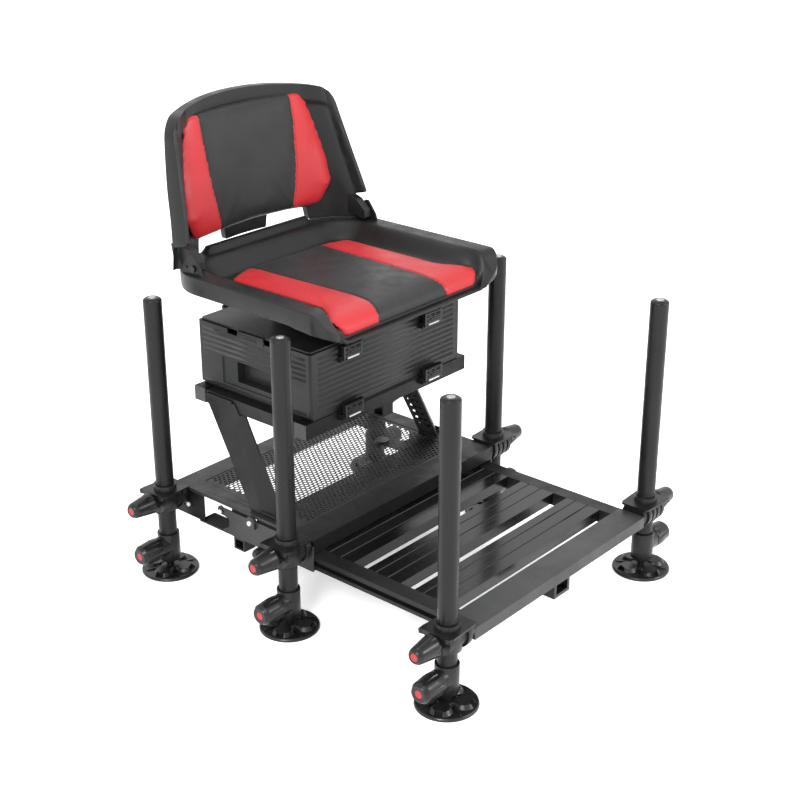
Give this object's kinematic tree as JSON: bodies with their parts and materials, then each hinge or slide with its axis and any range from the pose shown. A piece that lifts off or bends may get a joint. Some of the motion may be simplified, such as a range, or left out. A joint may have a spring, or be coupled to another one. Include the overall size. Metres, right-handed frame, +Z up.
{
  "type": "fishing seat box",
  "caption": "Fishing seat box: padded folding swivel seat on a tackle box, on a tubular frame with adjustable legs, mud feet and a sliding footplate.",
  "frame": {"origin": "on the ground under the centre of the object's bounding box", "axes": "+Z up; the sitter faces -Y; +X is on the right when looking at the front along +Y"},
  "size_m": [0.8, 0.8812, 0.91],
  "materials": {
    "tube_grey": "satin anodised dark grey",
    "frame_grey": "satin powder coat, dark grey",
    "frame_light": "satin powder coat, mid grey",
    "mesh_black": "satin black perforated sheet",
    "plank_black": "polished black anodised, ribbed",
    "cast_grey": "satin black casting",
    "box_plastic": "satin ribbed moulding",
    "latch_plastic": "satin moulding",
    "shell_plastic": "satin fine-grain moulding",
    "knob_plastic": "satin moulding with a red end disc",
    "foot_plastic": "satin moulding",
    "vinyl_black": "grained soft vinyl with red side panels",
    "steel": "plain steel"
  },
  "bodies": {
    "base": {"tray_frame": "frame_grey", "mesh_panel": "mesh_black", "side_plates": "frame_light", "struts": "frame_grey", "cassette_cross_rails": "frame_light", "cassette_side_rails": "frame_grey", "storage_box": "box_plastic", "lid_hinge_pins": "steel", "latch_bases": "latch_plastic", "frame_bolts": "steel", "frame_leg_clamps": "cast_grey"},
    "lid": {"box_lid": "box_plastic", "swivel_base": "frame_grey"},
    "seat": {"swivel_plate": "frame_grey", "seat_pan": "shell_plastic", "seat_cushion": "vinyl_black", "back_hinge_brackets": "frame_grey", "back_hinge_pins": "steel"},
    "back": {"back_shell": "shell_plastic", "back_cushion": "vinyl_black"},
    "footplate": {"footplate_rails": "frame_grey", "footplate_planks": "plank_black", "footplate_cross_beams": "frame_light", "accessory_socket": "knob_plastic", "footplate_leg_clamps": "cast_grey"},
    "lock_knob": {"footplate_lock_knob": "knob_plastic"},
    "latch_upper_left_lever": {"latch_upper_left": "latch_plastic"},
    "latch_lower_left_lever": {"latch_lower_left": "latch_plastic"},
    "latch_upper_right_lever": {"latch_upper_right": "latch_plastic"},
    "latch_lower_right_lever": {"latch_lower_right": "latch_plastic"},
    "leg_front_left": {"leg_tube_front_left": "tube_grey", "foot_collar_front_left": "cast_grey"},
    "foot_knob_front_left_body": {"foot_knob_front_left": "knob_plastic"},
    "clamp_knob_front_left_body": {"clamp_knob_front_left": "knob_plastic"},
    "foot_front_left": {"mud_foot_front_left": "foot_plastic"},
    "leg_front_right": {"leg_tube_front_right": "tube_grey", "foot_collar_front_right": "cast_grey"},
    "foot_knob_front_right_body": {"foot_knob_front_right": "knob_plastic"},
    "clamp_knob_front_right_body": {"clamp_knob_front_right": "knob_plastic"},
    "foot_front_right": {"mud_foot_front_right": "foot_plastic"},
    "leg_middle_left": {"leg_tube_middle_left": "tube_grey", "foot_collar_middle_left": "cast_grey"},
    "foot_knob_middle_left_body": {"foot_knob_middle_left": "knob_plastic"},
    "clamp_knob_middle_left_body": {"clamp_knob_middle_left": "knob_plastic"},
    "foot_middle_left": {"mud_foot_middle_left": "foot_plastic"},
    "leg_middle_right": {"leg_tube_middle_right": "tube_grey", "foot_collar_middle_right": "cast_grey"},
    "foot_knob_middle_right_body": {"foot_knob_middle_right": "knob_plastic"},
    "clamp_knob_middle_right_body": {"clamp_knob_middle_right": "knob_plastic"},
    "foot_middle_right": {"mud_foot_middle_right": "foot_plastic"},
    "leg_rear_left": {"leg_tube_rear_left": "tube_grey", "foot_collar_rear_left": "cast_grey"},
    "foot_knob_rear_left_body": {"foot_knob_rear_left": "knob_plastic"},
    "clamp_knob_rear_left_body": {"clamp_knob_rear_left": "knob_plastic"},
    "foot_rear_left": {"mud_foot_rear_left": "foot_plastic"},
    "leg_rear_right": {"leg_tube_rear_right": "tube_grey", "foot_collar_rear_right": "cast_grey"},
    "foot_knob_rear_right_body": {"foot_knob_rear_right": "knob_plastic"},
    "clamp_knob_rear_right_body": {"clamp_knob_rear_right": "knob_plastic"},
    "foot_rear_right": {"mud_foot_rear_right": "foot_plastic"}
  },
  "joints": [
    {"name": "lid_hinge", "type": "hinge", "parent": "base", "child": "lid", "pos_m": [0, 0.3257, 0.5162], "axis": [-1, 0, 0], "range_deg": [0, 90]},
    {"name": "seat_swivel", "type": "hinge", "parent": "lid", "child": "seat", "pos_m": [0, 0.1683, 0.5305], "axis": [0, 0, 1], "continuous": true},
    {"name": "back_fold", "type": "hinge", "parent": "seat", "child": "back", "pos_m": [0, 0.2883, 0.629], "axis": [1, 0, 0], "range_deg": [0, 105]},
    {"name": "footplate_slide", "type": "slide", "parent": "base", "child": "footplate", "axis": [0, 1, 0], "range_m": [0, 0.18]},
    {"name": "footplate_lock_turn", "type": "hinge", "parent": "base", "child": "lock_knob", "pos_m": [-0.296, 0.0783, 0.127], "axis": [-1, 0, 0], "range_deg": [0, 360]},
    {"name": "latch_upper_left_turn", "type": "hinge", "parent": "base", "child": "latch_upper_left_lever", "pos_m": [-0.1165, 0.0128, 0.487], "axis": [1, 0, 0], "range_deg": [0, 100]},
    {"name": "latch_lower_left_turn", "type": "hinge", "parent": "base", "child": "latch_lower_left_lever", "pos_m": [-0.1165, 0.0108, 0.37], "axis": [1, 0, 0], "range_deg": [0, 100]},
    {"name": "latch_upper_right_turn", "type": "hinge", "parent": "base", "child": "latch_upper_right_lever", "pos_m": [0.1165, 0.0128, 0.487], "axis": [1, 0, 0], "range_deg": [0, 100]},
    {"name": "latch_lower_right_turn", "type": "hinge", "parent": "base", "child": "latch_lower_right_lever", "pos_m": [0.1165, 0.0108, 0.37], "axis": [1, 0, 0], "range_deg": [0, 100]},
    {"name": "leg_slide_front_left", "type": "slide", "parent": "footplate", "child": "leg_front_left", "axis": [0, 0, 1], "range_m": [-0.389, 0.02]},
    {"name": "clamp_knob_turn_front_left", "type": "hinge", "parent": "footplate", "child": "clamp_knob_front_left_body", "pos_m": [-0.361, -0.3832, 0.136], "axis": [-1, 0, 0], "range_deg": [0, 540]},
    {"name": "foot_knob_turn_front_left", "type": "hinge", "parent": "leg_front_left", "child": "foot_knob_front_left_body", "pos_m": [-0.361, -0.3832, 0.057], "axis": [-1, 0, 0], "range_deg": [0, 540]},
    {"name": "foot_tilt_front_left", "type": "hinge", "parent": "leg_front_left", "child": "foot_front_left", "pos_m": [-0.311, -0.3832, 0.026], "axis": [1, 0, 0], "range_deg": [-12, 12]},
    {"name": "leg_slide_front_right", "type": "slide", "parent": "footplate", "child": "leg_front_right", "axis": [0, 0, 1], "range_m": [-0.384, 0.02]},
    {"name": "clamp_knob_turn_front_right", "type": "hinge", "parent": "footplate", "child": "clamp_knob_front_right_body", "pos_m": [0.361, -0.3832, 0.136], "axis": [1, 0, 0], "range_deg": [0, 540]},
    {"name": "foot_knob_turn_front_right", "type": "hinge", "parent": "leg_front_right", "child": "foot_knob_front_right_body", "pos_m": [0.361, -0.3832, 0.057], "axis": [1, 0, 0], "range_deg": [0, 540]},
    {"name": "foot_tilt_front_right", "type": "hinge", "parent": "leg_front_right", "child": "foot_front_right", "pos_m": [0.311, -0.3832, 0.026], "axis": [1, 0, 0], "range_deg": [-12, 12]},
    {"name": "leg_slide_middle_left", "type": "slide", "parent": "base", "child": "leg_middle_left", "axis": [0, 0, 1], "range_m": [-0.368, 0.045]},
    {"name": "clamp_knob_turn_middle_left", "type": "hinge", "parent": "base", "child": "clamp_knob_middle_left_body", "pos_m": [-0.361, -0.0017, 0.162], "axis": [-1, 0, 0], "range_deg": [0, 540]},
    {"name": "foot_knob_turn_middle_left", "type": "hinge", "parent": "leg_middle_left", "child": "foot_knob_middle_left_body", "pos_m": [-0.361, -0.0017, 0.057], "axis": [-1, 0, 0], "range_deg": [0, 540]},
    {"name": "foot_tilt_middle_left", "type": "hinge", "parent": "leg_middle_left", "child": "foot_middle_left", "pos_m": [-0.311, -0.0017, 0.026], "axis": [1, 0, 0], "range_deg": [-12, 12]},
    {"name": "leg_slide_middle_right", "type": "slide", "parent": "base", "child": "leg_middle_right", "axis": [0, 0, 1], "range_m": [-0.363, 0.045]},
    {"name": "clamp_knob_turn_middle_right", "type": "hinge", "parent": "base", "child": "clamp_knob_middle_right_body", "pos_m": [0.361, -0.0017, 0.162], "axis": [1, 0, 0], "range_deg": [0, 540]},
    {"name": "foot_knob_turn_middle_right", "type": "hinge", "parent": "leg_middle_right", "child": "foot_knob_middle_right_body", "pos_m": [0.361, -0.0017, 0.057], "axis": [1, 0, 0], "range_deg": [0, 540]},
    {"name": "foot_tilt_middle_right", "type": "hinge", "parent": "leg_middle_right", "child": "foot_middle_right", "pos_m": [0.311, -0.0017, 0.026], "axis": [1, 0, 0], "range_deg": [-12, 12]},
    {"name": "leg_slide_rear_left", "type": "slide", "parent": "base", "child": "leg_rear_left", "axis": [0, 0, 1], "range_m": [-0.363, 0.045]},
    {"name": "clamp_knob_turn_rear_left", "type": "hinge", "parent": "base", "child": "clamp_knob_rear_left_body", "pos_m": [-0.361, 0.3363, 0.162], "axis": [-1, 0, 0], "range_deg": [0, 540]},
    {"name": "foot_knob_turn_rear_left", "type": "hinge", "parent": "leg_rear_left", "child": "foot_knob_rear_left_body", "pos_m": [-0.361, 0.3363, 0.057], "axis": [-1, 0, 0], "range_deg": [0, 540]},
    {"name": "foot_tilt_rear_left", "type": "hinge", "parent": "leg_rear_left", "child": "foot_rear_left", "pos_m": [-0.311, 0.3363, 0.026], "axis": [1, 0, 0], "range_deg": [-12, 12]},
    {"name": "leg_slide_rear_right", "type": "slide", "parent": "base", "child": "leg_rear_right", "axis": [0, 0, 1], "range_m": [-0.363, 0.045]},
    {"name": "clamp_knob_turn_rear_right", "type": "hinge", "parent": "base", "child": "clamp_knob_rear_right_body", "pos_m": [0.361, 0.3363, 0.162], "axis": [1, 0, 0], "range_deg": [0, 540]},
    {"name": "foot_knob_turn_rear_right", "type": "hinge", "parent": "leg_rear_right", "child": "foot_knob_rear_right_body", "pos_m": [0.361, 0.3363, 0.057], "axis": [1, 0, 0], "range_deg": [0, 540]},
    {"name": "foot_tilt_rear_right", "type": "hinge", "parent": "leg_rear_right", "child": "foot_rear_right", "pos_m": [0.311, 0.3363, 0.026], "axis": [1, 0, 0], "range_deg": [-12, 12]}
  ]
}
